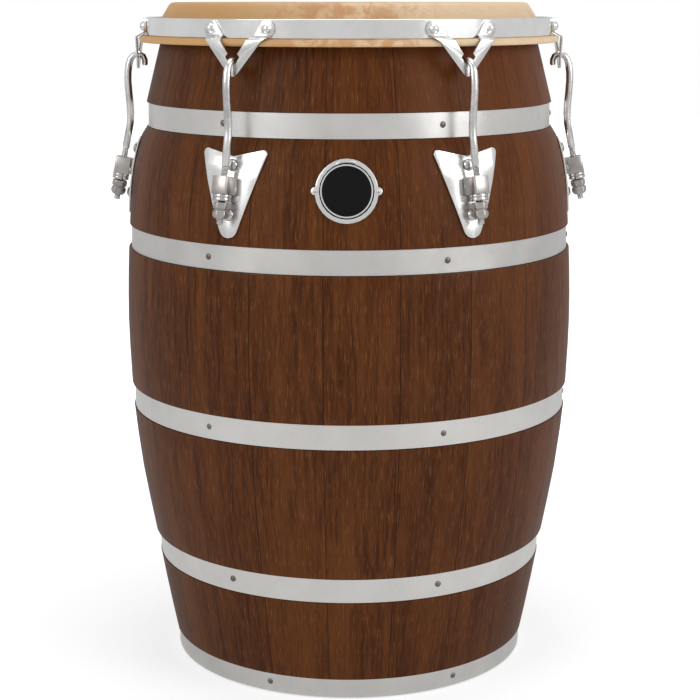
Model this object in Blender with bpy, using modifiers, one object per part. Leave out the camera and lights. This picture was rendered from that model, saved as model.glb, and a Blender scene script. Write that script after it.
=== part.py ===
"""A bomba drum: a staved barrel shell with steel hoops, a rawhide head and six tension lugs.

Metres, +Z up. The origin is the centre of the foot of the shell, and the badge faces -Y.
"""

import math

import bmesh
import bpy
from mathutils import Matrix, Vector

MM = 0.001
GAP = 0.3 * MM
TURN_STEPS = 48
STEP_ANGLE = 2 * math.pi / TURN_STEPS

DRUM_HEIGHT = 711 * MM
SKIN_THICKNESS = 1.7 * MM
LUG_COUNT = 6
FIRST_LUG_ANGLE = math.radians(-119.6)
BADGE_ANGLE = math.radians(-90.55)
LEAN = math.radians(11.5)

# The shell: the taper above the first hoop, then the belly as (height, radius) in mm.
TAPER_TOP_RADIUS, TAPER_TOP_HEIGHT, TAPER_SLOPE = 202.2, 667.0, 0.255
LEDGE_HEIGHT = 607.2
FORMED_ROWS = (572.0, 556.0, 540.0, 520.0, 504.0, 485.0)
BELLY_KNOTS = (
    (0, 191.6), (66, 204.7), (139, 217.6), (208, 230.0), (276, 238.0), (330, 241.0), (373, 242.2),
    (420, 241.4), (470, 238.9), (504, 236.5), (520, 234.8), (540, 231.6), (556, 227.9), (572, 223.4),
    (581.4, 217.4),
)
INNER_KNOTS = (
    (0, 174.5), (66, 187.5), (139, 200.5), (208, 212.5), (276, 219.5), (373, 223.5), (470, 220.0),
    (540, 212.5), (579, 203.5), (607, 200.0), (667, 188.0), (700, 180.5),
)
BEARING_EDGE = ((179.8, 704.5), (183.5, 708.9), (186.0, 708.9), (189.0, 706.6), (191.5, 702.5))

# Each hoop: bottom height, top height, radius at the bottom and at the top, in mm.
HOOPS = (
    (581.7, 606.9, 216.1, 215.5),
    (451.9, 477.2, 236.9, 236.3),
    (278.0, 303.8, 237.0, 237.0),
    (110.7, 137.1, 211.8, 213.2),
    (0.8, 20.9, 193.4, 193.7),
)
HOOP_THICKNESS = 1.8

# The head: the outer line of the skin from its centre down to the rolled edge, in mm.
COLLAR_TOP, COLLAR_FOOT = (191.4, 708.4), (211.0, 677.0)
COLLAR_SPLIT = (696.0, 691.0)
FLESH_HOOP = (210.7, 221.3, 671.3, 674.5)
RIM_RADIUS, RIM_THICKNESS, RIM_BOTTOM, RIM_TOP = 216.5, 2.5, 676.8, 695.4

# The lug, in mm: radii from the drum's axis, heights from its foot, widths across the lug.
PLATE_THICKNESS = 2.4
ROD_AXIS_RADIUS, ROD_AXIS_HEIGHT = 244.5, 546.0
SHANK_RADIUS, THREAD_RADIUS, HOOK_RADIUS = 3.9, 3.17, 3.1
BLOCK_DEPTH, BLOCK_WIDTH, BLOCK_HEIGHT = 16.0, 17.6, 17.5
WASHER_RADIUS, WASHER_STACK = 9.0, 6.2
NUT_RADIUS, NUT_HEIGHT = 8.2, 16.5
BOLT_HEIGHTS = (556.0, 508.0)
BOLT_RADIUS, BOLT_HEAD_RADIUS, BOLT_HEAD_HEIGHT = 3.0, 6.3, 3.0
BADGE_HEIGHT, BADGE_RADIUS, BADGE_WINDOW = 533.9, 30.7, 26.8


def clear_scene():
    for obj in list(bpy.data.objects):
        bpy.data.objects.remove(obj, do_unlink=True)


def new_collection(name, hidden=False):
    collection = bpy.data.collections.new(name)
    collection.hide_render = hidden
    bpy.context.scene.collection.children.link(collection)
    return collection


def material(name, color, roughness, metallic=0.0):
    made = bpy.data.materials.get(name)
    if made is None:
        made = bpy.data.materials.new(name)
        made.use_nodes = True
        shader = made.node_tree.nodes["Principled BSDF"]
        shader.inputs["Base Color"].default_value = (*color, 1.0)
        shader.inputs["Roughness"].default_value = roughness
        shader.inputs["Metallic"].default_value = metallic
    return made


def add_object(name, mesh, collection, finish=None, parent=None):
    obj = bpy.data.objects.new(name, mesh)
    collection.objects.link(obj)
    if finish is not None:
        mesh.materials.clear()
        mesh.materials.append(finish)
        mesh.shade_smooth()
        mesh.set_sharp_from_angle(angle=math.radians(32))
    if parent is not None:
        obj.parent = parent
    return obj


def mesh_of(name, bm):
    mesh = bpy.data.meshes.new(name)
    bm.to_mesh(mesh)
    bm.free()
    return mesh


def smooth_knots(knots, x):
    """The smooth curve through the knots, read at x."""
    last = len(knots) - 1
    i = max(k for k in range(last) if knots[k][0] <= x or k == 0)
    (x0, y0), (x1, y1) = knots[i], knots[i + 1]
    before, after = knots[max(i - 1, 0)], knots[min(i + 2, last)]
    slope0 = (y1 - before[1]) / (x1 - before[0])
    slope1 = (after[1] - y0) / (after[0] - x0)
    span = x1 - x0
    t = (x - x0) / span
    return (
        y0 * (2 * t**3 - 3 * t**2 + 1)
        + y1 * (3 * t**2 - 2 * t**3)
        + span * slope0 * (t**3 - 2 * t**2 + t)
        + span * slope1 * (t**3 - t**2)
    )


def between(points, z):
    """The radius at z on straight lines between (height, radius) points that rise."""
    for (z0, r0), (z1, r1) in zip(points, points[1:]):
        if z <= z1:
            break
    return r0 + (r1 - r0) * (z - z0) / (z1 - z0)


def taper_radius(z):
    return TAPER_TOP_RADIUS + TAPER_SLOPE * (TAPER_TOP_HEIGHT - z)


def belly_radius(z):
    return smooth_knots(BELLY_KNOTS, z)


FORMED_SURFACE = tuple((z, belly_radius(z)) for z in reversed(FORMED_ROWS))


def shell_outline():
    """The closed section of the shell, down its outer side and up the inner one, as (radius, height)."""
    outer = [(r, z) for r, z in reversed(BEARING_EDGE[1:])]
    outer = sorted(outer, key=lambda point: (-point[1], point[0]))
    outer += [(taper_radius(z), z) for z in (690.0, LEDGE_HEIGHT)]
    rows = sorted({*FORMED_ROWS, 430.0, 402.0, 373.0, 345.0, 250.0, 208.0, 172.0, 80.0, 50.0}, reverse=True)
    for foot, top, foot_radius, top_radius in HOOPS:
        floor = HOOP_THICKNESS + GAP / MM
        high, low = top + GAP / MM, foot - GAP / MM
        last = foot < 1
        if top < 600:
            outer.append((belly_radius(high), high))
        outer.append((top_radius - floor, high))
        outer.append((foot_radius - floor, 0.0 if last else low))
        if not last:
            outer.append((belly_radius(low), low))
            below = HOOPS[HOOPS.index((foot, top, foot_radius, top_radius)) + 1][1]
            outer += [(belly_radius(z), z) for z in rows if below + 1 < z < foot - 1]
    inner = [(smooth_knots(INNER_KNOTS, z), z) for z in (0.0, 66.0, 139.0, 208.0, 276.0, 373.0, 470.0)]
    inner += [(smooth_knots(INNER_KNOTS, z), z) for z in (540.0, 579.0, 607.0, 667.0, 700.0)]
    return outer + inner + [BEARING_EDGE[0]]


def turned(name, outline, steps, finish, collection, parent=None, scale=MM):
    """A solid of revolution about its own Z axis, from a closed section listed down its outer side."""
    bm = bmesh.new()
    verts = [bm.verts.new((r * scale, 0, z * scale)) for r, z in outline]
    on_axis = outline[0][0] == 0 and outline[-1][0] == 0
    pairs = zip(verts, verts[1:] if on_axis else verts[1:] + verts[:1])
    for a, b in pairs:
        bm.edges.new((a, b))
    obj = add_object(name, mesh_of(name, bm), collection, finish, parent)
    screw = obj.modifiers.new("Turn", "SCREW")
    screw.steps = steps
    screw.render_steps = steps
    screw.use_merge_vertices = True
    screw.merge_threshold = 0.00001
    screw.use_smooth_shade = True
    return obj


def cylinder(name, radius, length, segments, collection, turn=Matrix()):
    bm = bmesh.new()
    bmesh.ops.create_cone(
        bm, cap_ends=True, segments=segments, radius1=radius, radius2=radius, depth=length, matrix=turn
    )
    return add_object(name, mesh_of(name, bm), collection)


def boolean(obj, other, operation):
    modifier = obj.modifiers.new(operation.title(), "BOOLEAN")
    modifier.operation = operation
    modifier.object = other
    other.hide_render = True
    other.display_type = "WIRE"
    return modifier


def arc(cx, cy, radius, start, end, steps):
    """Points on an arc, from the start angle to the end angle in degrees."""
    angles = [math.radians(start + (end - start) * i / steps) for i in range(steps + 1)]
    return [(cx + radius * math.cos(a), cy + radius * math.sin(a)) for a in angles]


def flat_mesh(name, loops, thickness):
    """A flat plate from closed outlines in (across, height) mm, its holes being further outlines."""
    curve = bpy.data.curves.new(name, "CURVE")
    curve.dimensions = "2D"
    curve.fill_mode = "BOTH"
    curve.extrude = thickness * MM / 2
    for loop in loops:
        spline = curve.splines.new("POLY")
        spline.points.add(len(loop) - 1)
        for point, (x, y) in zip(spline.points, loop):
            point.co = (x * MM, y * MM, 0, 1)
        spline.use_cyclic_u = True
    obj = bpy.data.objects.new(name, curve)
    bpy.context.scene.collection.objects.link(obj)
    graph = bpy.context.evaluated_depsgraph_get()
    mesh = bpy.data.meshes.new_from_object(obj.evaluated_get(graph))
    bpy.data.objects.remove(obj, do_unlink=True)
    return mesh


def formed_plate(name, loops, thickness, radius_at, rows, columns, finish, collection, parent):
    """A sheet cut flat, then formed round the drum: its back follows radius_at(height)."""
    mesh = flat_mesh(name, loops, thickness)
    bm = bmesh.new()
    bm.from_mesh(mesh)
    bmesh.ops.remove_doubles(bm, verts=bm.verts, dist=0.00001)
    cuts = [((0, z * MM, 0), (0, 1, 0)) for z in rows] + [((x * MM, 0, 0), (1, 0, 0)) for x in columns]
    for point, normal in cuts:
        everything = bm.verts[:] + bm.edges[:] + bm.faces[:]
        bmesh.ops.bisect_plane(bm, geom=everything, plane_co=point, plane_no=normal, dist=0.00002)
    for vert in bm.verts:
        across, height, depth = vert.co
        radius = radius_at(height / MM) * MM + depth + thickness * MM / 2
        angle = across / (FORM_RADIUS * MM)
        vert.co = (radius * math.cos(angle), radius * math.sin(angle), height)
    bmesh.ops.triangulate(bm, faces=bm.faces)
    bmesh.ops.recalc_face_normals(bm, faces=bm.faces)
    bm.to_mesh(mesh)
    bm.free()
    return add_object(name, mesh, collection, finish, parent)


FORM_RADIUS = 235.0
FORM_COLUMNS = tuple(FORM_RADIUS * STEP_ANGLE * k for k in (-1, 0, 1))


def on_shell(height):
    return between(FORMED_SURFACE, height) + GAP / MM


def plate_outline():
    """The side plate: two ears joined by a shallow V, and sides that close on a round foot."""
    half_width, side_slope, foot_radius, foot = 37.9, 0.379, 10.5, 485.2
    side_angle = math.degrees(math.atan(side_slope))
    right = arc(0, foot + foot_radius, foot_radius, -90, -side_angle, 4)
    right += arc(half_width - 4.0, 567.2, 4.0, -side_angle, 102, 4)
    left = [(-x, z) for x, z in reversed(right)]
    return right + [(0, 564.3)] + left[:-1]


def bracket_outline():
    """The rim bracket: two riveted ears, and arms that close on a foot with the hook's notch in it."""
    ear, ear_height, ear_radius = 35.0, 686.4, 8.4
    right = arc(0, 648.1, 7.2, -90, -40, 3)
    right += [(33.6, 675.6)]
    right += arc(ear, ear_height, ear_radius, -62, 148, 7)
    right += [(17.6, 677.2), (5.9, 662.4), (8.5, 659.4), (4.0, 652.9)]
    left = [(-x, z) for x, z in reversed(right)]
    return right + [(0, 652.3)] + left[:-1]


def bracket_radius(height):
    """The back of the bracket: against the rim at the ears, and clear of the rolled skin below."""
    on_rim, over_roll = RIM_RADIUS + 0.4, 225.6
    step_top, step_foot = 680.0, 675.4
    share = min(max((step_top - height) / (step_top - step_foot), 0.0), 1.0)
    return on_rim + share * (over_roll - on_rim)


def tube(name, points, collection, finish, parent, sides):
    """A rod along (radius, height, own radius) points in mm, in the lug's middle plane."""
    curve = bpy.data.curves.new(name, "CURVE")
    curve.dimensions = "3D"
    curve.bevel_depth = SHANK_RADIUS * MM
    curve.bevel_resolution = sides // 2 - 2
    curve.use_fill_caps = True
    spline = curve.splines.new("POLY")
    spline.points.add(len(points) - 1)
    for point, (r, z, thick) in zip(spline.points, points):
        point.co = (r * MM, 0, z * MM, 1)
        point.radius = thick / SHANK_RADIUS
    obj = bpy.data.objects.new(name, curve)
    collection.objects.link(obj)
    curve.materials.append(finish)
    obj.parent = parent
    return obj


def rod_axis(height):
    """The radius of the rod's straight lower axis at a height, in mm."""
    return ROD_AXIS_RADIUS + (ROD_AXIS_HEIGHT - height) * math.tan(LEAN)


def rod_points():
    hook = [(219.8, 645.2), (219.6, 650.0), (221.2, 653.9), (224.6, 656.1), (228.6, 656.3)]
    bend = [(232.3, 654.3), (235.2, 650.5), (236.9, 645.0), (238.1, 637.0), (238.4, 628.0)]
    bow = [(237.7, 616.0), (236.8, 604.0), (236.4, 594.0)]
    points = [(r, z, HOOK_RADIUS) for r, z in hook]
    points += [(r, z, min(HOOK_RADIUS + 0.25 * (i + 1), SHANK_RADIUS)) for i, (r, z) in enumerate(bend)]
    points += [(r, z, SHANK_RADIUS) for r, z in bow]
    points += [(rod_axis(z), z, SHANK_RADIUS) for z in (583.0, 556.5)]
    points += [(rod_axis(z), z, THREAD_RADIUS) for z in (556.0, 500.0)]
    return points


def axis_frame(height):
    """The frame of the leaning rod at a height: local +Z runs up the rod."""
    place = Vector((rod_axis(height) * MM, 0, height * MM))
    return Matrix.Translation(place) @ Matrix.Rotation(-LEAN, 4, "Y")


def surface_frame(height):
    """A frame on the side plate's front, its +Z pointing straight out of the shell."""
    step = 4.0
    rise = on_shell(height - step) - on_shell(height + step)
    tilt = math.atan2(rise, 2 * step)
    place = Vector(((on_shell(height) + PLATE_THICKNESS) * MM, 0, height * MM))
    return Matrix.Translation(place) @ Matrix.Rotation(math.pi / 2 - tilt, 4, "Y")


def bolt_outline(wall):
    """A round-headed bolt through the wall, with its nut inside the drum."""
    head, shank, nut_depth = BOLT_HEAD_RADIUS, BOLT_RADIUS, 4.5
    lift = 2.5 * GAP / MM
    return [
        (0, BOLT_HEAD_HEIGHT + lift), (head * 0.6, BOLT_HEAD_HEIGHT * 0.8 + lift), (head, lift),
        (shank, lift), (shank, -wall), (6.2, -wall), (6.2, -wall - nut_depth), (0, -wall - nut_depth),
    ]


def wall_depth(height):
    """From the side plate's front to the inside of the shell, with room for the wall's slope."""
    inner = smooth_knots(INNER_KNOTS, height)
    return on_shell(height) + PLATE_THICKNESS - inner + 2.2


def make_block(name, collection, cutters, finish, parent):
    """The cast block that the rod passes through, with its foot against the side plate."""
    foot_depth, foot_overlap = 2.9, 1.0
    bm = bmesh.new()
    size = Matrix.Diagonal((BLOCK_DEPTH * MM, BLOCK_WIDTH * MM, BLOCK_HEIGHT * MM, 1))
    bmesh.ops.create_cube(bm, size=1.0, matrix=size)
    upright = [e for e in bm.edges if abs(e.verts[0].co.z - e.verts[1].co.z) > MM]
    outer = [e for e in upright if e.verts[0].co.x > 0]
    bmesh.ops.bevel(bm, geom=outer, offset=2.0 * MM, segments=2, affect="EDGES", profile=0.5, material=-1)
    block = add_object(name, mesh_of(name, bm), collection, finish, parent)
    frame = axis_frame(ROD_AXIS_HEIGHT - BLOCK_HEIGHT / 2 * math.cos(LEAN))
    block.matrix_local = frame
    bm = bmesh.new()
    size = Matrix.Diagonal(((foot_depth + foot_overlap) * MM, 12.0 * MM, 17.0 * MM, 1))
    place = Matrix.Translation(((-BLOCK_DEPTH - foot_depth + foot_overlap) / 2 * MM, 0, 0.4 * MM))
    bmesh.ops.create_cube(bm, size=1.0, matrix=place @ size)
    foot = add_object(name + "_foot", mesh_of(name + "_foot", bm), cutters, None, parent)
    foot.matrix_local = frame
    bore = cylinder(name + "_bore", 4.5 * MM, 40 * MM, 10, cutters)
    bore.parent = parent
    bore.matrix_local = frame
    boolean(block, foot, "UNION")
    boolean(block, bore, "DIFFERENCE")
    return block


def add_rivets(bracket, cutters, parent):
    """Two domed rivet heads, raised on the bracket's ears."""
    ear_angle, head_radius, head_height = 35.0 / FORM_RADIUS, 5.2, 4.6
    for side in (-1, 1):
        bm = bmesh.new()
        bmesh.ops.create_uvsphere(bm, u_segments=10, v_segments=6, radius=1.0)
        squash = Matrix.Diagonal((head_radius * MM, head_radius * MM, head_height * MM, 1))
        turn = Matrix.Rotation(side * ear_angle, 4, "Z") @ Matrix.Translation(
            ((RIM_RADIUS + 0.9 + PLATE_THICKNESS / 2) * MM, 0, 686.4 * MM)
        )
        bmesh.ops.transform(bm, verts=bm.verts, matrix=turn @ Matrix.Rotation(math.pi / 2, 4, "Y") @ squash)
        back = turn @ Vector((0, 0, 0))
        out = Vector((back.x, back.y, 0)).normalized()
        everything = bm.verts[:] + bm.edges[:] + bm.faces[:]
        cut = bmesh.ops.bisect_plane(
            bm, geom=everything, plane_co=back, plane_no=out, dist=0.00001, clear_inner=True
        )
        edges = [e for e in cut["geom_cut"] if isinstance(e, bmesh.types.BMEdge)]
        bmesh.ops.edgeloop_fill(bm, edges=edges)
        bmesh.ops.recalc_face_normals(bm, faces=bm.faces)
        name = f"{bracket.name}_rivet_{'left' if side < 0 else 'right'}"
        boolean(bracket, add_object(name, mesh_of(name, bm), cutters, None, parent), "UNION")


def make_lug(number, parts, cutters, steel, polished):
    """One tension lug: bracket on the rim, rod, side plate, block, washers, nut and two bolts."""
    lug = bpy.data.objects.new(f"lug_{number}", None)
    parts.objects.link(lug)
    lug.rotation_euler.z = FIRST_LUG_ANGLE + (number - 1) * 2 * math.pi / LUG_COUNT

    bracket = formed_plate(
        f"rim_bracket_{number}", [bracket_outline()], PLATE_THICKNESS, bracket_radius,
        (675.4, 680.0), FORM_COLUMNS, polished, parts, lug,
    )
    add_rivets(bracket, cutters, lug)

    holes = [arc(0, z, BOLT_RADIUS + 1.4, 0, 315, 7) for z in BOLT_HEIGHTS]
    formed_plate(
        f"side_plate_{number}", [plate_outline(), *holes], PLATE_THICKNESS, on_shell,
        FORMED_ROWS, FORM_COLUMNS, polished, parts, lug,
    )
    make_block(f"lug_block_{number}", parts, cutters, steel, lug)
    tube(f"tuning_rod_{number}", rod_points(), parts, polished, lug, 10)

    under_block = ROD_AXIS_HEIGHT - (BLOCK_HEIGHT + GAP / MM) * math.cos(LEAN)
    edge, low = WASHER_RADIUS, -WASHER_STACK
    washer = [(edge, 0), (edge, low * 0.42), (edge - 1, low / 2), (edge, low * 0.58), (edge, low)]
    washer = turned(f"washers_{number}", [*washer, (4.2, low), (4.2, 0)], 14, polished, parts, lug)
    washer.matrix_local = axis_frame(under_block)

    under_washers = under_block - (WASHER_STACK + GAP / MM) * math.cos(LEAN)
    nut = [(NUT_RADIUS, 0), (NUT_RADIUS, 3.5 - NUT_HEIGHT), (6.0, -NUT_HEIGHT), (4.2, -NUT_HEIGHT), (4.2, 0)]
    nut = turned(f"tuning_nut_{number}", nut, 6, steel, parts, lug)
    nut.matrix_local = axis_frame(under_washers)

    for height, level in zip(BOLT_HEIGHTS, ("upper", "lower")):
        wall = wall_depth(height)
        bolt = turned(f"{level}_bolt_{number}", bolt_outline(wall), 12, polished, parts, lug)
        bolt.matrix_local = surface_frame(height)
    return lug


def bolt_cutters(cutters):
    """All twelve bolt holes through the shell, as one mesh."""
    bm = bmesh.new()
    for number in range(LUG_COUNT):
        turn = Matrix.Rotation(FIRST_LUG_ANGLE + number * 2 * math.pi / LUG_COUNT, 4, "Z")
        for height in BOLT_HEIGHTS:
            radius = (BOLT_RADIUS + 0.6) * MM
            bmesh.ops.create_cone(
                bm, cap_ends=True, segments=8, radius1=radius, radius2=radius, depth=70 * MM,
                matrix=turn @ surface_frame(height),
            )
    return add_object("bolt_holes", mesh_of("bolt_holes", bm), cutters)


def skin_outline():
    """The struck part of the skin, from its centre over the bearing edge and down the collar."""
    top, thick = DRUM_HEIGHT / MM, SKIN_THICKNESS / MM
    slope = (COLLAR_FOOT[0] - COLLAR_TOP[0]) / (COLLAR_TOP[1] - COLLAR_FOOT[1])
    end = COLLAR_SPLIT[0]
    foot = COLLAR_TOP[0] + (COLLAR_TOP[1] - end) * slope
    outer = [(0, top), (186.0, top), (189.4, top - 0.9), COLLAR_TOP, (foot, end)]
    inner = [(foot - 2.0, end), (COLLAR_TOP[0] - 1.5, COLLAR_TOP[1] - 1.3), (188.4, top - 2.6)]
    return outer + inner + [(185.6, top - thick), (0, top - thick)]


def roll_outline():
    """The skin's lower collar and the edge that it is rolled into, round the flesh hoop."""
    slope = (COLLAR_FOOT[0] - COLLAR_TOP[0]) / (COLLAR_TOP[1] - COLLAR_FOOT[1])
    start = COLLAR_SPLIT[1]
    neck = COLLAR_TOP[0] + (COLLAR_TOP[1] - start) * slope
    inside, outside, low, high = FLESH_HOOP
    thick = SKIN_THICKNESS / MM
    lap = GAP / MM
    over = high + lap
    under = low - lap
    outer = [(neck, start), (210.6, over + thick), (outside + 0.8, over + thick), (outside + 2.2, high - 1.6)]
    outer += [(outside + 0.8, under - thick), (inside - 0.8, under - thick), (inside - 2.2, low + 1.0)]
    inner = [(inside - 2.0, high - 1.2), (inside - 0.5, high - 1.2), (inside - 0.4, low + 0.6)]
    inner += [(inside - 0.1, under), (outside, under), (outside + 0.4, high - 1.6), (outside, over)]
    return outer + inner + [(inside - 0.6, over), (neck - 2.0, start)]


def make_drum():
    clear_scene()
    parts = new_collection("bomba_drum")
    cutters = new_collection("cutters", hidden=True)
    wood = material("stained_wood", (0.115, 0.042, 0.018), 0.38)
    skin = material("rawhide", (0.62, 0.42, 0.22), 0.62)
    steel = material("cast_steel", (0.56, 0.55, 0.53), 0.30, 1.0)
    polished = material("polished_steel", (0.68, 0.67, 0.65), 0.16, 1.0)
    satin = material("satin_steel", (0.50, 0.48, 0.46), 0.34, 1.0)
    black = material("black_enamel", (0.006, 0.006, 0.007), 0.22)

    shell = turned("barrel_shell", shell_outline(), TURN_STEPS, wood, parts)
    boolean(shell, bolt_cutters(cutters), "DIFFERENCE")

    for number, (foot, top, foot_radius, top_radius) in enumerate(HOOPS, start=1):
        section = [(top_radius, top), (foot_radius, foot)]
        section += [(foot_radius - HOOP_THICKNESS, foot), (top_radius - HOOP_THICKNESS, top)]
        turned(f"hoop_{number}", section, TURN_STEPS, satin, parts)

    turned("drumhead", skin_outline(), TURN_STEPS, skin, parts)
    turned("skin_roll", roll_outline(), TURN_STEPS, skin, parts)
    inside, outside, low, high = FLESH_HOOP
    section = [(outside, high), (outside, low), (inside, low), (inside, high)]
    turned("flesh_hoop", section, TURN_STEPS, steel, parts)
    rim_inside = RIM_RADIUS - RIM_THICKNESS
    section = [(RIM_RADIUS, RIM_TOP), (RIM_RADIUS, RIM_BOTTOM), (rim_inside, RIM_BOTTOM), (rim_inside, RIM_TOP)]
    turned("rim_band", section, TURN_STEPS, polished, parts)

    front = bpy.data.objects.new("badge_front", None)
    parts.objects.link(front)
    front.rotation_euler.z = BADGE_ANGLE
    ear = 30.8
    ring = arc(0, BADGE_HEIGHT, BADGE_RADIUS, 7, 173, 14)
    ring += arc(-ear, BADGE_HEIGHT, 3.8, 115, 245, 4)
    ring += arc(0, BADGE_HEIGHT, BADGE_RADIUS, 187, 353, 14)
    ring += arc(ear, BADGE_HEIGHT, 3.8, -65, 65, 4)
    window = arc(0, BADGE_HEIGHT, BADGE_WINDOW, 0, 345, 23)
    formed_plate(
        "badge_ring", [ring, window], 2.2, on_shell, FORMED_ROWS, FORM_COLUMNS, polished, parts, front
    )
    disc = arc(0, BADGE_HEIGHT, BADGE_WINDOW - 0.3, 0, 345, 23)
    formed_plate("badge_disc", [disc], 1.4, on_shell, FORMED_ROWS, FORM_COLUMNS, black, parts, front)

    for number in range(1, LUG_COUNT + 1):
        make_lug(number, parts, cutters, steel, polished)


make_drum()
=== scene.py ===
import math

import bmesh
import bpy
from mathutils import Matrix, Vector


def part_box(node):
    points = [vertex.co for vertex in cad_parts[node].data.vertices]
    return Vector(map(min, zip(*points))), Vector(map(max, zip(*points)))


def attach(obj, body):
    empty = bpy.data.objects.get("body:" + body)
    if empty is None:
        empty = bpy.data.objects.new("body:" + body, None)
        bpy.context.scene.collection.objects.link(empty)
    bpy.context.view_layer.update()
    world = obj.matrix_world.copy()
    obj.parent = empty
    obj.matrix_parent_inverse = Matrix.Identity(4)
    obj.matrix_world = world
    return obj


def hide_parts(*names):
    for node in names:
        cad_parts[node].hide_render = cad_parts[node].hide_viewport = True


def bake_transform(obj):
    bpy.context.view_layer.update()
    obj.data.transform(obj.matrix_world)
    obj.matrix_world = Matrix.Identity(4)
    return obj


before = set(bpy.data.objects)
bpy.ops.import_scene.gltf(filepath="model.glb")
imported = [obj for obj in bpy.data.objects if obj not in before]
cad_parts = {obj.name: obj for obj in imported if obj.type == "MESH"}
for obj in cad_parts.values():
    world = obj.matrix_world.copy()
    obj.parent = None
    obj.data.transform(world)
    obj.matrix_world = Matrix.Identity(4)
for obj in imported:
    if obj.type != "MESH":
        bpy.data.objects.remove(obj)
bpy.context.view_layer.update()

# Driving sizes. Outlines are in mm, as in the part, and everything else is in metres.
MM = 0.001
SAME_POINT = 0.01 * MM
SMOOTH_TURN = 240
UP = (0, 0, 1)
CENTRE = (0, 0, 0)

STAVES, FIRST_JOINT_DEG = 20, 12.0
STAVE_WIDTH = 0.075
HOOPS = 5

LUG_ANGLES = [math.radians(-119.6 + 60 * k) for k in range(6)]
LEAN = math.radians(11.5)
ROD_AXIS_RADIUS, ROD_AXIS_HEIGHT = 244.5, 546.0
HOOK, SHANK, THREAD = 3.1, 3.9, 3.17
THREAD_TOP, THREAD_TOP_RADIUS, THREAD_PITCH = 556.0, 242.5, 1.27
ROD_SIDES = 24
NUT_TOP, NUT_ACROSS_FLATS, NUT_BORE = 521.4, 14.0, 3.3

SKIN_THICKNESS = 1.6

# Each hoop's screws: height in mm, and the angle of the first one from the front, in degrees.
HOOP_SCREWS = ((594.7, 25.0), (464.5, 24.0), (291.0, 23.4), (124.7, 25.5), (11.5, 34.7))
SCREWS_PER_HOOP = 6
SCREW_RADIUS, SCREW_HEIGHT, SCREW_SINK = 3.3 * MM, 1.7 * MM, 0.6 * MM

BADGE_TURN, BADGE_RADIUS, BADGE_PIN_ARC = -0.0096, 0.235, 0.0304
BADGE_FACE = 0.236
PIN_RADIUS, PIN_HEIGHT, PIN_SEAT = 1.9 * MM, 1.1 * MM, 0.2362


def rod_axis(height):
    """The radius of the leaning rod's axis at a height, both in mm."""
    return ROD_AXIS_RADIUS + (ROD_AXIS_HEIGHT - height) * math.tan(LEAN)


# Shader expressions

def feed(target, value):
    """Sets a node's input to a constant, or links a Shade to it."""
    if isinstance(value, Shade):
        value.tree.links.new(value.socket, target)
    else:
        target.default_value = value


def set_inputs(shader, values):
    for name, value in values.items():
        feed(shader.inputs[name], value)


class Shade:
    """A node socket that takes ordinary maths."""

    def __init__(self, tree, socket):
        self.tree = tree
        self.socket = socket

    def node(self, kind, inputs, output=0, **settings):
        made = self.tree.nodes.new(kind)
        for key, value in settings.items():
            setattr(made, key, value)
        for key, value in inputs.items():
            feed(made.inputs[key], value)
        return Shade(self.tree, made.outputs[output])

    def math(self, operation, *others):
        return self.node("ShaderNodeMath", dict(enumerate((self, *others))), operation=operation)

    def __add__(self, other):
        return self.math("ADD", other)

    __radd__ = __add__

    def __mul__(self, other):
        return self.math("MULTIPLY", other)

    __rmul__ = __mul__

    def __sub__(self, other):
        return self.math("SUBTRACT", other)

    def __rsub__(self, other):
        return (self * -1.0) + other

    def __truediv__(self, other):
        return self.math("DIVIDE", other)

    def split(self):
        parts = self.tree.nodes.new("ShaderNodeSeparateXYZ")
        self.tree.links.new(self.socket, parts.inputs[0])
        return [Shade(self.tree, out) for out in parts.outputs]

    def vector(self, x, y, z):
        return self.node("ShaderNodeCombineXYZ", {0: x, 1: y, 2: z})

    def scaled(self, x, y, z):
        return self.node("ShaderNodeVectorMath", {0: self, 1: (x, y, z)}, operation="MULTIPLY")

    def length(self):
        return self.node("ShaderNodeVectorMath", {0: self}, 1, operation="LENGTH")

    def noise(self, scale, detail=3.0, rough=0.5, distortion=0.0):
        inputs = {"Vector": self, "Scale": scale, "Detail": detail, "Roughness": rough}
        return self.node("ShaderNodeTexNoise", {**inputs, "Distortion": distortion})

    def ramp(self, low, high, start=0.0, end=1.0):
        """Smooth from start to end as the value goes from low to high."""
        inputs = {"Value": self, "From Min": low, "From Max": high, "To Min": start, "To Max": end}
        return self.node("ShaderNodeMapRange", inputs, interpolation_type="SMOOTHSTEP")

    def color(self, first, second):
        """The colour between first and second, at this value."""
        mix = self.tree.nodes.new("ShaderNodeMix")
        mix.data_type = "RGBA"
        feed(mix.inputs[0], self)
        for target, value in ((mix.inputs[6], first), (mix.inputs[7], second)):
            feed(target, value if isinstance(value, Shade) else (*value, 1.0))
        return Shade(self.tree, mix.outputs[2])

    def bump(self, strength, distance):
        return self.node("ShaderNodeBump", {"Height": self, "Strength": strength, "Distance": distance})


def finish(name):
    """A new material: the material itself, its shader and the object coordinates."""
    made = bpy.data.materials.new(name)
    made.use_nodes = True
    tree = made.node_tree
    place = Shade(tree, tree.nodes.new("ShaderNodeTexCoord").outputs["Object"])
    return made, tree.nodes["Principled BSDF"], place


# Finishes

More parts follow.
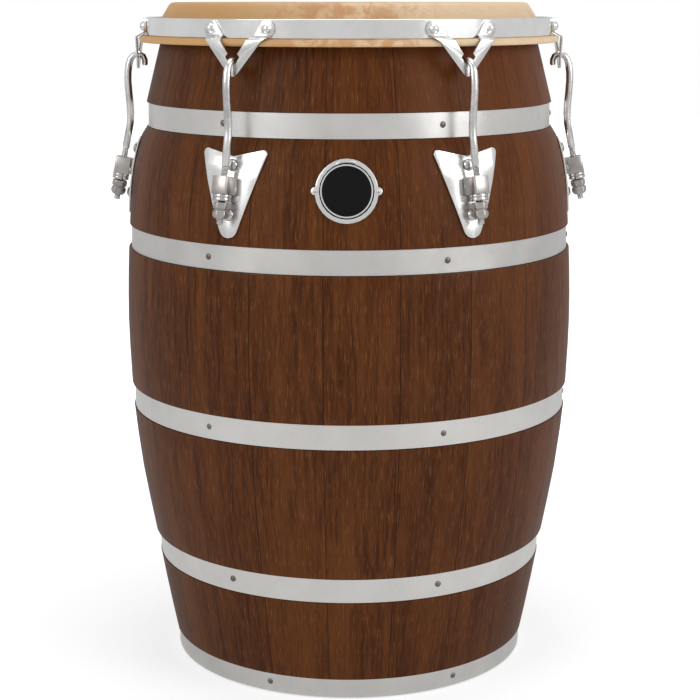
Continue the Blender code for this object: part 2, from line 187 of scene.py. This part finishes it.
def wood():
    """Oiled walnut staves: every stave has its own grain and tone, and a fine dark joint on each side; the
    shell's upper right is painted light, a lighter, warmer tone where the lamps fall.
    """
    grain_dark, grain_light = (0.032, 0.0078, 0.0014), (0.102, 0.0290, 0.0052)
    broad_light, stave_dark = (0.135, 0.0420, 0.0085), (0.044, 0.0110, 0.0022)
    pore_dark, streak_light = (0.0085, 0.0024, 0.0008), (0.215, 0.088, 0.024)
    # The first colour on the next line is painted light, for the shell's lit upper right.
    lit_side_colour, joint_dark = (0.150, 0.040, 0.0085), (0.010, 0.004, 0.003)

    made, shader, place = finish("walnut")
    x, y, z = place.split()
    degrees = x.math("ARCTAN2", y * -1.0) * (180 / math.pi)
    turn = (degrees - FIRST_JOINT_DEG) / (360 / STAVES)
    within = turn.math("FLOORED_MODULO", 1.0)
    stave = (turn - within).math("FLOORED_MODULO", float(STAVES))
    tone = stave.node("ShaderNodeTexWhiteNoise", {"W": stave + 0.37}, noise_dimensions="1D")
    across = within * STAVE_WIDTH + stave * 1.7

    wave = place.vector(across * 3.0, stave * 2.1, z * 0.9).noise(7.0, 2.0)
    grain = place.vector(across + wave * 0.012, stave, z * 0.06).noise(250.0, 8.0, 0.68)
    broad = place.vector(across, stave * 0.7, z * 0.12).noise(34.0, 4.0, 0.55, 0.3)
    pore = place.vector(across, stave, z * 0.08).noise(700.0, 3.0, 0.7).ramp(0.60, 0.70)
    streaks = place.vector(across, stave * 1.9, z * 0.055).noise(1100.0, 2.0, 0.6)
    edge = within.math("MINIMUM", 1.0 - within)
    joint = edge.ramp(0.004, 0.010, 1.0, 0.0)
    # Painted light: a mask for the upper right of the shell, where the lamps fall.
    lit_side = z.ramp(0.40, 0.66) * x.ramp(-0.05, 0.17)

    body = grain.ramp(0.34, 0.68).color(grain_dark, grain_light)
    body = (broad.ramp(0.38, 0.7) * 0.55).color(body, broad_light)
    body = (tone * 0.35).color(body, stave_dark)
    body = (pore * 0.8).color(body, pore_dark)
    body = (streaks.ramp(0.54, 0.72) * 0.55).color(body, streak_light)
    # Painted light: the upper right of the shell made lighter and warmer.
    body = (lit_side * 0.35).color(body, lit_side_colour)
    body = (joint * 0.7).color(body, joint_dark)
    set_inputs(shader, {
        "Base Color": body,
        "Roughness": grain * 0.16 + 0.36 + pore * 0.2,
        "Specular IOR Level": 0.10,
        "Normal": (grain * 0.5 - pore * 0.8 - joint * 1.5).bump(0.35, 0.0004),
    })
    return made


def rawhide():
    """Rawhide that runs from tan on the left to cream on the right, with a stained patch between."""
    tan, cream = (0.47, 0.262, 0.090), (0.60, 0.445, 0.28)
    stain_brown, mottle_tan, speck_brown = (0.42, 0.18, 0.055), (0.50, 0.30, 0.13), (0.30, 0.15, 0.06)

    made, shader, place = finish("rawhide_skin")
    x, y = place.split()[:2]
    cloud = place.noise(9.0, 4.0, 0.6, 0.4)
    mottle = place.noise(55.0, 6.0, 0.65, 0.6)
    speck = place.noise(260.0, 4.0, 0.7)
    drift = x + cloud * 0.16 - 0.08
    patch = drift.ramp(-0.09, -0.03) * drift.ramp(0.03, 0.11, 1.0, 0.0)
    patch = patch * (y * -1.0).ramp(-0.05, 0.14, 0.25, 1.0)

    body = (x + cloud * 0.10).ramp(-0.10, 0.13).color(tan, cream)
    body = (patch * mottle.ramp(0.42, 0.60) * 0.75).color(body, stain_brown)
    body = (mottle.ramp(0.50, 0.72) * 0.35).color(body, mottle_tan)
    body = (speck.ramp(0.60, 0.72) * 0.5).color(body, speck_brown)
    set_inputs(shader, {
        "Base Color": body,
        "Roughness": mottle * 0.25 + 0.42,
        "Subsurface Weight": 0.12,
        "Subsurface Scale": 0.004,
        "Normal": (mottle * 0.7 + speck * 0.3).bump(0.45, 0.0009),
    })
    return made


def steel(name, dark, light, roughness, spread, stretch, relief):
    """Steel brushed round the drum: stretch squeezes the brush marks along Z."""
    made, shader, place = finish(name)
    cloud = place.noise(26.0, 3.0, 0.6)
    brush = place.scaled(1, 1, stretch).noise(520.0, 4.0, 0.65)
    set_inputs(shader, {
        "Metallic": 1.0,
        "Base Color": (cloud.ramp(0.3, 0.7) * 0.6 + brush * 0.4).color(dark, light),
        "Roughness": brush * spread + cloud * spread + roughness,
        "Normal": brush.bump(relief, 0.0002),
    })
    return made


def threaded_steel():
    """Bright rod steel, with the thread's ridges on the rod's lower end, along its leaning axis."""
    made, shader, place = finish("threaded_rod_steel")
    x, y, z = place.split()
    radius = (x * x + y * y).math("SQRT")
    along = z * math.cos(LEAN) - radius * math.sin(LEAN)
    top = (THREAD_TOP * math.cos(LEAN) - THREAD_TOP_RADIUS * math.sin(LEAN)) * MM
    on_thread = along.ramp(top - 0.5 * MM, top, 1.0, 0.0)
    ridges = (along / (THREAD_PITCH * MM)).math("PINGPONG", 0.5) * on_thread
    cloud = place.noise(60.0, 4.0, 0.6)
    set_inputs(shader, {
        "Metallic": 1.0,
        "Base Color": cloud.ramp(0.3, 0.7).color((0.60, 0.585, 0.57), (0.84, 0.83, 0.81)),
        "Roughness": cloud * 0.14 + 0.20,
        "Normal": (ridges * 2.0).bump(1.0, 0.0006),
    })
    return made


def enamel():
    made, shader, place = finish("black_badge_enamel")
    peel = place.noise(420.0, 2.0)
    dust = place.noise(1500.0, 2.0)
    set_inputs(shader, {
        "Base Color": dust.ramp(0.6, 0.8).color((0.004, 0.004, 0.0045), (0.018, 0.018, 0.02)),
        "Roughness": peel * 0.12 + 0.14,
        "Specular IOR Level": 0.12,
        "Normal": peel.bump(0.12, 0.0002),
    })
    return made


WOOD = wood()
SKIN = rawhide()
HOOP = steel("satin_hoop", (0.70, 0.685, 0.655), (0.78, 0.765, 0.735), 0.17, 0.13, 14, 0.10)
RIM = steel("polished_rim", (0.80, 0.80, 0.785), (0.93, 0.93, 0.91), 0.07, 0.09, 9, 0.05)
PLATE = steel("polished_plate", (0.74, 0.73, 0.715), (0.86, 0.855, 0.84), 0.17, 0.09, 3, 0.05)
CAST = steel("cast_lug_steel", (0.36, 0.325, 0.305), (0.52, 0.49, 0.465), 0.18, 0.14, 1, 0.22)
BOLT = steel("bolt_steel", (0.50, 0.48, 0.46), (0.66, 0.64, 0.62), 0.10, 0.10, 1, 0.08)
SCREW = steel("dull_screw_steel", (0.13, 0.115, 0.10), (0.26, 0.235, 0.21), 0.24, 0.10, 1, 0.15)
ROD = threaded_steel()
ENAMEL = enamel()

# The CAD nodes that are shown as they are: the start of each name, its finish and its edges' softening.
FRAME_LOOKS = {
    "rim_bracket": (PLATE, 0.6 * MM),
    "side_plate": (PLATE, 0.6 * MM),
    "lug_block": (CAST, 0.9 * MM),
    "washers": (BOLT, 0.3 * MM),
    "upper_bolt": (BOLT, 0.3 * MM),
    "lower_bolt": (BOLT, 0.3 * MM),
    "badge_ring": (PLATE, 0.6 * MM),
    "badge_disc": (ENAMEL, 0.3 * MM),
    "flesh_hoop": (CAST, 0.4 * MM),
}


# Shapes

def shade(mesh, look, sharp_deg):
    mesh.materials.clear()
    mesh.materials.append(look)
    mesh.shade_smooth()
    mesh.set_sharp_from_angle(angle=math.radians(sharp_deg))


def piece(name, bm, look, sharp_deg=32):
    """The bmesh as an object of the scene, with its finish."""
    bmesh.ops.recalc_face_normals(bm, faces=bm.faces)
    mesh = bpy.data.meshes.new(name)
    bm.to_mesh(mesh)
    bm.free()
    shade(mesh, look, sharp_deg)
    obj = bpy.data.objects.new(name, mesh)
    bpy.context.scene.collection.objects.link(obj)
    return obj


def soften(obj, width, segments):
    modifier = obj.modifiers.new("Worn edge", "BEVEL")
    modifier.width = width
    modifier.segments = segments
    modifier.limit_method = "ANGLE"
    modifier.angle_limit = math.radians(35)


def whole(bm):
    return bm.verts[:] + bm.edges[:] + bm.faces[:]


def turn_round(bm, steps):
    bmesh.ops.spin(
        bm, geom=bm.verts[:] + bm.edges[:], cent=CENTRE, axis=UP, angle=2 * math.pi,
        steps=steps, use_merge=True,
    )


def section_of(node):
    """A CAD node's section on one side of the axis, at an angle clear of bolt holes and badge."""
    turn = math.radians(15)
    straight = 0.002
    across = Vector((-math.sin(turn), math.cos(turn), 0))
    out = Vector((math.cos(turn), math.sin(turn), 0))
    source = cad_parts[node]
    bm = bmesh.new()
    bm.from_mesh(source.data)
    bmesh.ops.transform(bm, verts=bm.verts, matrix=source.matrix_world)
    bmesh.ops.remove_doubles(bm, verts=bm.verts, dist=SAME_POINT)
    cut = bmesh.ops.bisect_plane(
        bm, geom=whole(bm), plane_co=CENTRE, plane_no=across, dist=2 * SAME_POINT
    )
    kept = {e for e in cut["geom_cut"] if isinstance(e, bmesh.types.BMEdge)}
    kept = {e for e in kept if all(v.co.dot(out) > -SAME_POINT for v in e.verts)}
    bmesh.ops.delete(bm, geom=bm.faces[:], context="FACES_ONLY")
    bmesh.ops.delete(bm, geom=[e for e in bm.edges if e not in kept], context="EDGES")
    bmesh.ops.delete(bm, geom=[v for v in bm.verts if not v.link_edges], context="VERTS")
    bmesh.ops.dissolve_limit(bm, angle_limit=straight, verts=bm.verts, edges=bm.edges)
    return bm


def spun(name, node, look, body, edge, sharp_deg=32):
    """A CAD ring or shell made smooth: its own section, turned in many small steps."""
    bm = section_of(node)
    turn_round(bm, SMOOTH_TURN)
    bmesh.ops.remove_doubles(bm, verts=bm.verts, dist=SAME_POINT / 2)
    obj = piece(name, bm, look, sharp_deg)
    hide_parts(node)
    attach(obj, body)
    soften(obj, edge, 3)


def skin_line():
    """The skin's outer line, as (radius, height) in mm: crown, bearing edge, collar and rolled edge."""
    top = 711.0
    crown = [(0, top), (80, top), (150, top), (180, top), (186, 710.9), (189.2, 710.2), (191.4, 708.4)]
    collar = [(193.4, 705.2), (197.2, 699.1), (202.2, 691.0), (206.8, 683.6)]
    over = [(209.4, 678.9), (211.4, 676.8), (214.5, 676.3), (219.0, 676.4), (221.6, 675.9)]
    round_edge = [(223.2, 674.4), (223.5, 672.6), (222.6, 670.8), (220.6, 669.5)]
    under = [(216.0, 669.3), (211.6, 669.4), (209.5, 670.6), (208.7, 672.6), (209.2, 674.6)]
    return crown + collar + over + round_edge + under + [(210.2, 675.4)]


def skin():
    """The whole skin as one piece, in one fixed shape whose line turns down where the rim draws it down."""
    line = skin_line()
    inner = []
    for i, (r, z) in enumerate(line):
        before, after = line[max(i - 1, 0)], line[min(i + 1, len(line) - 1)]
        along = Vector((after[0] - before[0], after[1] - before[1])).normalized()
        inner.append((max(r + along.y * SKIN_THICKNESS, 0), z - along.x * SKIN_THICKNESS))
    bm = bmesh.new()
    section = [bm.verts.new((r * MM, 0, z * MM)) for r, z in line + inner[::-1]]
    for a, b in zip(section, section[1:]):
        bm.edges.new((a, b))
    turn_round(bm, SMOOTH_TURN)
    bmesh.ops.remove_doubles(bm, verts=bm.verts, dist=SAME_POINT)
    obj = piece("skin", bm, SKIN, 60)
    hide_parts("drumhead", "skin_roll")
    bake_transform(obj)


def rod_points():
    """The rod's centre line as (radius, height, own radius) in mm, from the hook's tip down."""
    hook = [(219.7, 644.4, 2.4), (219.6, 646.0, HOOK), (219.6, 650.0, HOOK), (221.2, 653.9, HOOK)]
    crest = [(224.6, 656.1, HOOK), (228.6, 656.3, HOOK), (232.3, 654.3, 3.3), (235.2, 650.5, 3.6)]
    bend = [(236.9, 645.0, 3.85), (238.1, 637.0, SHANK), (238.4, 628.0, SHANK), (237.7, 616.0, SHANK)]
    bow = [(236.8, 604.0, SHANK), (236.4, 594.0, SHANK)]
    lower = [(583, SHANK), (THREAD_TOP + 0.5, SHANK), (THREAD_TOP - 0.2, THREAD), (501, THREAD), (500.2, 2.6)]
    return hook + crest + bend + bow + [(rod_axis(z), z, thick) for z, thick in lower]


def bridge(bm, first, second):
    """Faces between two rings of as many points."""
    count = len(first)
    for k in range(count):
        after = (k + 1) % count
        bm.faces.new((first[k], first[after], second[after], second[k]))


def rod(number, angle):
    points = rod_points()
    bm = bmesh.new()
    rings = []
    for i, (r, z, thick) in enumerate(points):
        before, after = points[max(i - 1, 0)], points[min(i + 1, len(points) - 1)]
        along = Vector((after[0] - before[0], 0, after[1] - before[1])).normalized()
        side = Vector((0, 1, 0))
        other = along.cross(side)
        ring = []
        for k in range(ROD_SIDES):
            a = 2 * math.pi * k / ROD_SIDES
            spoke = math.cos(a) * side + math.sin(a) * other
            ring.append(bm.verts.new((Vector((r, 0, z)) + thick * spoke) * MM))
        rings.append(ring)
    for first, second in zip(rings, rings[1:]):
        bridge(bm, first, second)
    bm.faces.new(rings[0])
    bm.faces.new(rings[-1])
    bmesh.ops.rotate(bm, verts=bm.verts, cent=CENTRE, matrix=Matrix.Rotation(angle, 3, "Z"))
    obj = piece(f"rod_{number}_steel", bm, ROD, 50)
    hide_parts(f"tuning_rod_{number}")
    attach(obj, f"rod_{number}")


def hex_nut(number, angle):
    """The tall nut: a chamfered hexagon with a groove turned round it, as rings of (depth, radius)."""
    full = NUT_ACROSS_FLATS / math.sqrt(3)
    groove, end = full - 1.3, 16.2
    rings = [(0, full - 1.0), (0.9, full), (6.4, full), (7.0, groove), (8.2, groove), (8.8, full)]
    rings += [(13.2, full), (14.9, full - 1.2), (end, full - 2.2), (end, NUT_BORE), (0, NUT_BORE)]
    corners = [math.pi / 3 * k for k in range(6)]
    bm = bmesh.new()
    made = [
        [bm.verts.new((r * math.cos(a) * MM, r * math.sin(a) * MM, -depth * MM)) for a in corners]
        for depth, r in rings
    ]
    for first, second in zip(made, made[1:] + made[:1]):
        bridge(bm, first, second)
    foot = Matrix.Translation((rod_axis(NUT_TOP) * MM, 0, NUT_TOP * MM))
    place = Matrix.Rotation(angle, 4, "Z") @ foot @ Matrix.Rotation(-LEAN, 4, "Y")
    bmesh.ops.transform(bm, verts=bm.verts, matrix=place)
    obj = piece(f"nut_{number}_steel", bm, CAST, 25)
    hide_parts(f"tuning_nut_{number}")
    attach(obj, f"nut_{number}")
    soften(obj, 0.5 * MM, 2)


def dome(name, place, radius, height, look):
    """A small round head on the shell: its own +Z points out."""
    bm = bmesh.new()
    bmesh.ops.create_uvsphere(bm, u_segments=24, v_segments=14, radius=1.0)
    bmesh.ops.transform(bm, verts=bm.verts, matrix=Matrix.Diagonal((radius, radius, height, 1)))
    bmesh.ops.bisect_plane(bm, geom=whole(bm), plane_co=CENTRE, plane_no=UP, clear_inner=True)
    bmesh.ops.transform(bm, verts=bm.verts, matrix=place)
    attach(piece(name, bm, look, 60), "shell")


def on_surface(radius, angle, height):
    """A frame on the shell at an angle from the front, +Z pointing out."""
    turn = Matrix.Rotation(angle - math.pi / 2, 4, "Z")
    return turn @ Matrix.Translation((radius, 0, height)) @ Matrix.Rotation(math.pi / 2, 4, "Y")


def hoop_screws():
    for number, (height, first) in enumerate(HOOP_SCREWS, start=1):
        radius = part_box(f"hoop_{number}")[1][0] - SCREW_SINK
        for k in range(SCREWS_PER_HOOP):
            angle = math.radians(first + k * 360 / SCREWS_PER_HOOP)
            place = on_surface(radius, angle, height * MM)
            dome(f"hoop_{number}_screw_{k + 1}", place, SCREW_RADIUS, SCREW_HEIGHT, SCREW)


def badge():
    """A thin bright ring on the badge's black disc, laid on its curve, and the pins in its ears."""
    low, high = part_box("badge_disc")
    middle = (low[2] + high[2]) / 2
    centre = BADGE_TURN * BADGE_FACE
    section = ((0.0256, -0.0004), (0.0254, 0.0005), (0.0240, 0.0005), (0.0238, -0.0004))
    bm = bmesh.new()
    ring = [bm.verts.new((r, 0, lift)) for r, lift in section]
    for a, b in zip(ring, ring[1:] + ring[:1]):
        bm.edges.new((a, b))
    turn_round(bm, 96)
    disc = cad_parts["badge_disc"]
    into = disc.matrix_world.inverted()
    ahead = (into.to_3x3() @ Vector((0, 1, 0))).normalized()
    for vert in bm.verts:
        x, up, lift = vert.co
        spot = disc.ray_cast(into @ Vector((centre + x, -0.3, middle + up)), ahead)[1]
        vert.co = (centre + x, (disc.matrix_world @ spot).y - lift, middle + up)
    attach(piece("badge_inner_ring", bm, PLATE), "shell")
    for side, word in ((-1, "left"), (1, "right")):
        angle = side * BADGE_PIN_ARC / BADGE_RADIUS + BADGE_TURN
        dome(f"badge_pin_{word}", on_surface(PIN_SEAT, angle, middle), PIN_RADIUS, PIN_HEIGHT, BOLT)


def dress_frame():
    """The pieces whose CAD shape is shown: a finish each, and softened edges."""
    for name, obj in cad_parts.items():
        for start, (look, edge) in FRAME_LOOKS.items():
            if name.startswith(start):
                shade(obj.data, look, 32)
                weld = obj.modifiers.new("Join corners", "WELD")
                weld.merge_threshold = SAME_POINT
                soften(obj, edge, 2)


def drum():
    spun("shell_wood", "barrel_shell", WOOD, "shell", 0.4 * MM, 24)
    for number in range(1, HOOPS + 1):
        spun(f"hoop_{number}_steel", f"hoop_{number}", HOOP, "shell", 0.4 * MM)
    spun("rim_steel", "rim_band", RIM, "rim", 0.7 * MM)
    skin()
    for number, angle in enumerate(LUG_ANGLES, start=1):
        rod(number, angle)
        hex_nut(number, angle)
    hoop_screws()
    badge()
    dress_frame()


# Studio

def sky():
    """White to the camera, and a softer grey to what it lights and to the metals."""
    diffuse_grey, mirror_grey, white = (0.50, 0.505, 0.52), (0.66, 0.665, 0.67), (1.0, 1.0, 1.0)
    world = bpy.data.worlds.new("studio")
    bpy.context.scene.world = world
    world.use_nodes = True
    tree = world.node_tree
    path = tree.nodes.new("ShaderNodeLightPath")
    mirrored = Shade(tree, path.outputs["Is Glossy Ray"])
    seen = Shade(tree, path.outputs["Is Camera Ray"])
    seen = seen.math("MAXIMUM", Shade(tree, path.outputs["Is Transmission Ray"]))
    color = seen.color(mirrored.color(diffuse_grey, mirror_grey), white)
    feed(tree.nodes["Background"].inputs["Color"], color)


def paper_floor():
    """White paper that takes the drum's shadow and fades into the white behind."""
    radius, drop = 9.0, 0.6 * MM
    near_glow, far_glow, mirror_glow = (0.60, 0.60, 0.60), (1.0, 1.0, 1.0), (0.22, 0.22, 0.22)
    made, shader, place = finish("floor_paper")
    tree = made.node_tree
    path = tree.nodes.new("ShaderNodeLightPath")
    mirrored = Shade(tree, path.outputs["Is Glossy Ray"])
    glow = place.length().ramp(0.3, 1.3).color(near_glow, far_glow)
    set_inputs(shader, {
        "Base Color": place.noise(3.0, 3.0).color((0.48, 0.48, 0.48), (0.52, 0.52, 0.52)),
        "Roughness": 0.9,
        "Specular IOR Level": 0.0,
        "Emission Color": mirrored.color(glow, mirror_glow),
        "Emission Strength": 1.0,
    })
    bm = bmesh.new()
    bmesh.ops.create_circle(bm, cap_ends=True, segments=96, radius=radius)
    bmesh.ops.translate(bm, verts=bm.verts, vec=(0, 0, -drop))
    mesh = bpy.data.meshes.new("floor")
    bm.to_mesh(mesh)
    bm.free()
    mesh.materials.append(made)
    floor = bpy.data.objects.new("floor", mesh)
    bpy.context.scene.collection.objects.link(floor)


def softbox(name, place, target, size, power):
    light = bpy.data.lights.new(name, "AREA")
    light.size = size
    light.energy = power
    lamp = bpy.data.objects.new(name, light)
    lamp.location = place
    lamp.rotation_euler = (Vector(target) - Vector(place)).to_track_quat("-Z", "Y").to_euler()
    bpy.context.scene.collection.objects.link(lamp)


def camera():
    """The photo's camera, as fitted to the edges of the drum's hoops."""
    lens = bpy.data.cameras.new("camera")
    lens.lens = 88.51
    lens.sensor_width = 36.0
    lens.shift_x = 1 / 700
    lens.clip_end = 50.0
    obj = bpy.data.objects.new("camera", lens)
    obj.location = (0, -1.8784, 0.7152)
    obj.rotation_euler = (math.radians(78.441), 0, 0)
    bpy.context.scene.collection.objects.link(obj)
    bpy.context.scene.camera = obj


def studio():
    bpy.context.scene.view_settings.view_transform = "Standard"
    sky()
    paper_floor()
    softbox("left_softbox", (-1.7, -1.5, 1.5), (0, 0, 0.4), 1.3, 15)
    softbox("right_softbox", (1.8, -1.2, 1.3), (0, 0, 0.45), 1.2, 18)
    softbox("top_softbox", (0.1, 0.2, 2.6), (0, 0, 0.3), 1.8, 26)
    camera()


drum()
studio()
